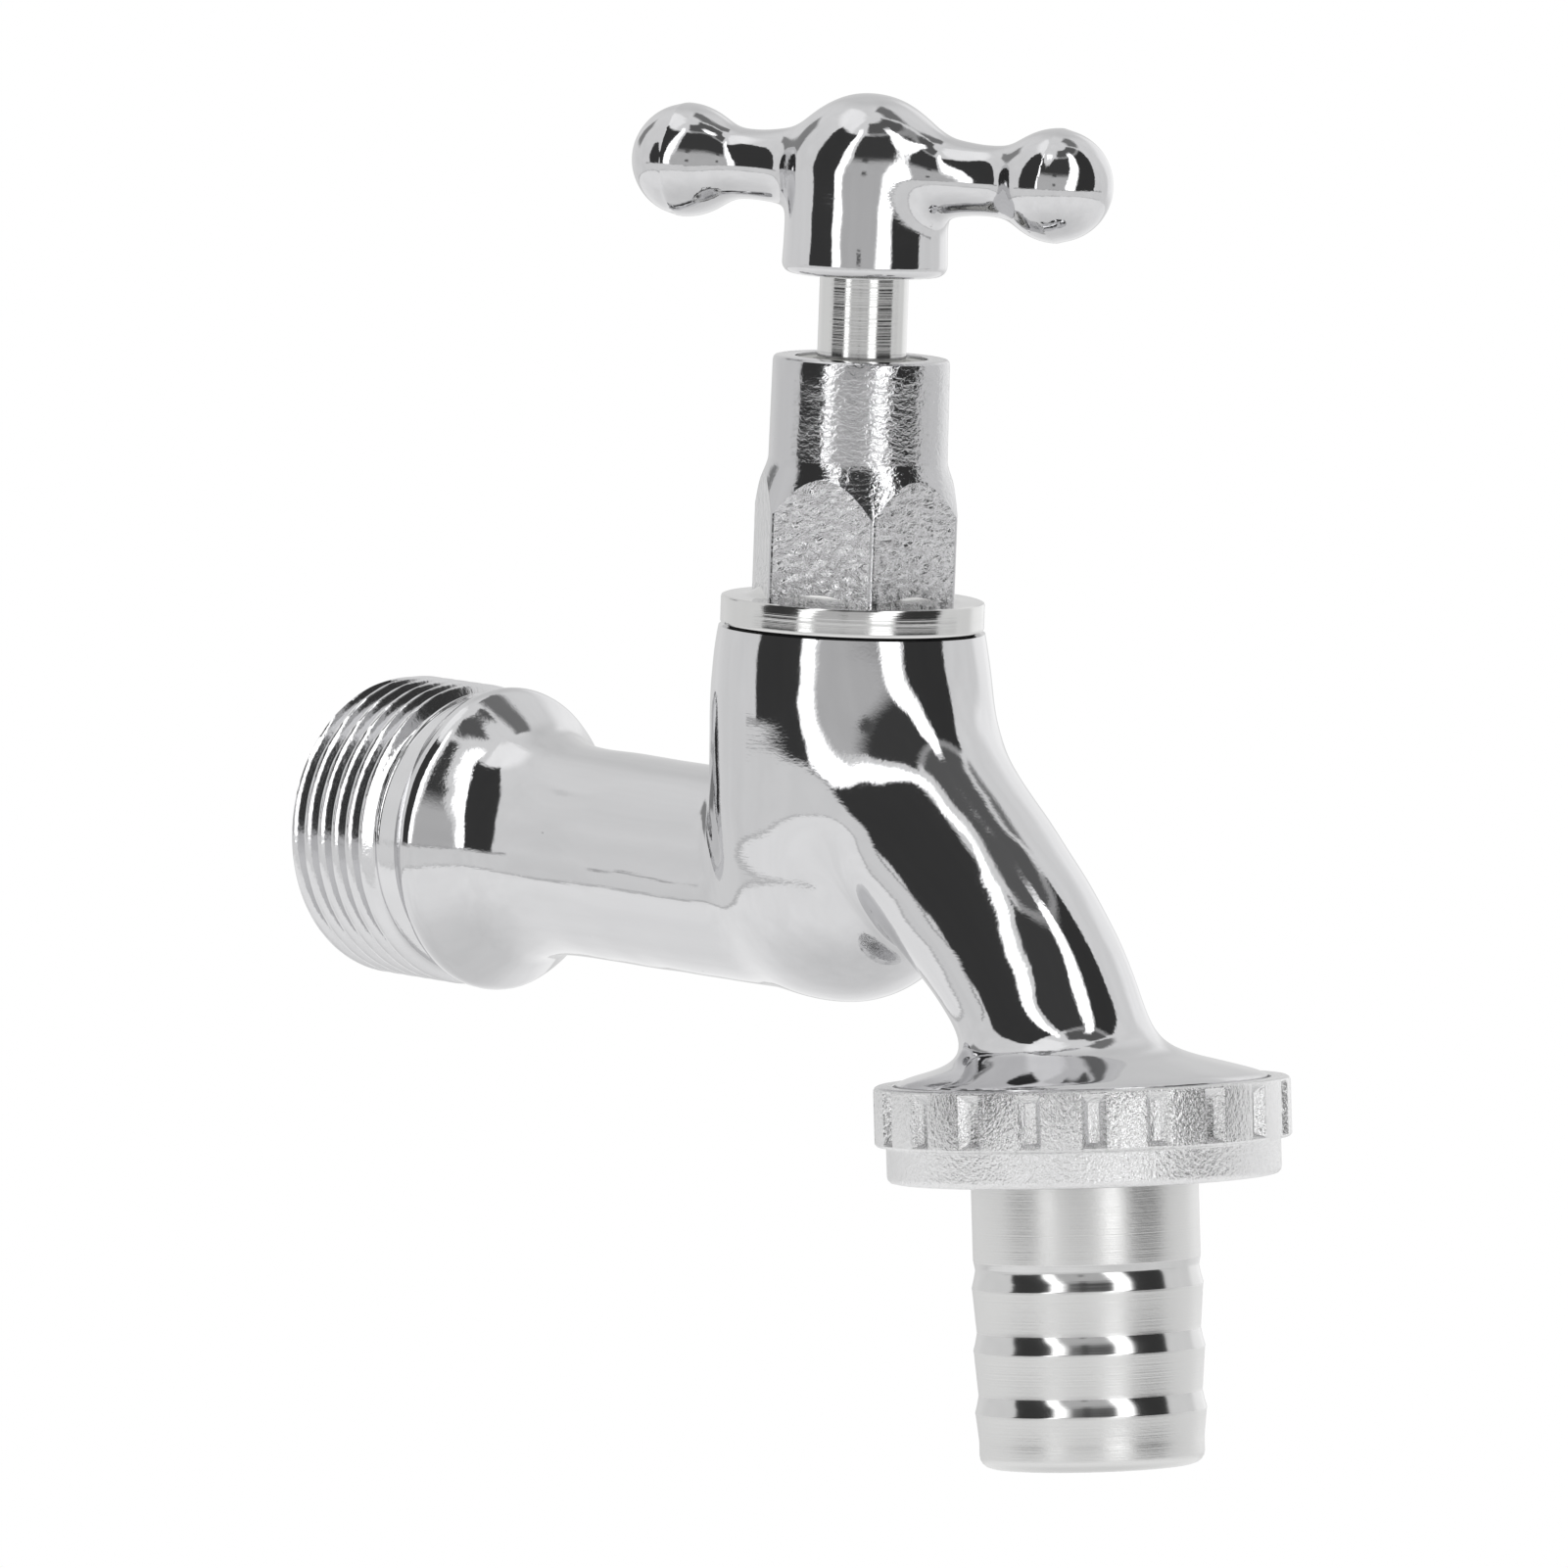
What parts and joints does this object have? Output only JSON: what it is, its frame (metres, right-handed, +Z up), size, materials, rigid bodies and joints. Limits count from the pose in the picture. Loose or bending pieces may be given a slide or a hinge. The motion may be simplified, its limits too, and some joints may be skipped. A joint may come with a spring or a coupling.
{
  "type": "hose bib",
  "caption": "Chrome wall tap with a T-bar handle with ball ends, a rising spindle, a curved spout, a castellated union nut and a barbed hose tail.",
  "frame": {"origin": "centre of the wall thread's end face, on the wall thread's axis", "axes": "+X from the wall outwards along the barrel, +Z up along the spindle, the body symmetric about the XZ plane"},
  "size_m": [0.1066, 0.0352, 0.1146],
  "materials": {
    "polished_chrome": "mirror chrome with fine polishing scratches",
    "cast_chrome": "chrome over a rough cast skin, turned on the flange",
    "nut_chrome": "bright plating over a fine grained casting",
    "satin_metal": "satin, with polished cones on the barbs",
    "turned_stem": "turned, with fine rings",
    "brass": "turned brass",
    "rubber": "matt black rubber",
    "ptfe": "off-white plastic",
    "steel": "plated steel"
  },
  "bodies": {
    "tap": {"tap_body": "polished_chrome", "bonnet": "cast_chrome", "bonnet_gasket": "rubber", "gland_ring": "ptfe"},
    "jumper": {"jumper": "brass", "tap_washer": "rubber", "washer_nut": "brass"},
    "spindle": {"spindle": "turned_stem", "spindle_oring_lower": "rubber", "spindle_oring_upper": "rubber", "handle": "polished_chrome", "handle_screw": "steel"},
    "hose_tail": {"hose_tail": "satin_metal", "tail_washer": "rubber"},
    "union_nut": {"union_nut": "nut_chrome"}
  },
  "joints": [
    {"name": "spindle_lift", "type": "slide", "parent": "tap", "child": "jumper", "axis": [0, 0, 1], "range_m": [-0.005, 0.00135]},
    {"name": "handle_turn", "type": "hinge", "parent": "jumper", "child": "spindle", "pos_m": [0.05806, 0, 0.06172], "axis": [0, 0, 1], "range_deg": [-540, 144]},
    {"name": "tail_drop", "type": "slide", "parent": "tap", "child": "hose_tail", "axis": [0.095, 0, -0.9955], "range_m": [0, 0.0056]},
    {"name": "nut_turn", "type": "hinge", "parent": "hose_tail", "child": "union_nut", "pos_m": [0.08938, 0, -0.02105], "axis": [0.095, 0, -0.9955], "range_deg": [0, 1080]}
  ],
  "couplings": [
    {"joint": "spindle_lift", "follows": "handle_turn", "m_per_rad": 0.00051725},
    {"joint": "tail_drop", "follows": "nut_turn", "m_per_rad": 0.00028871}
  ]
}
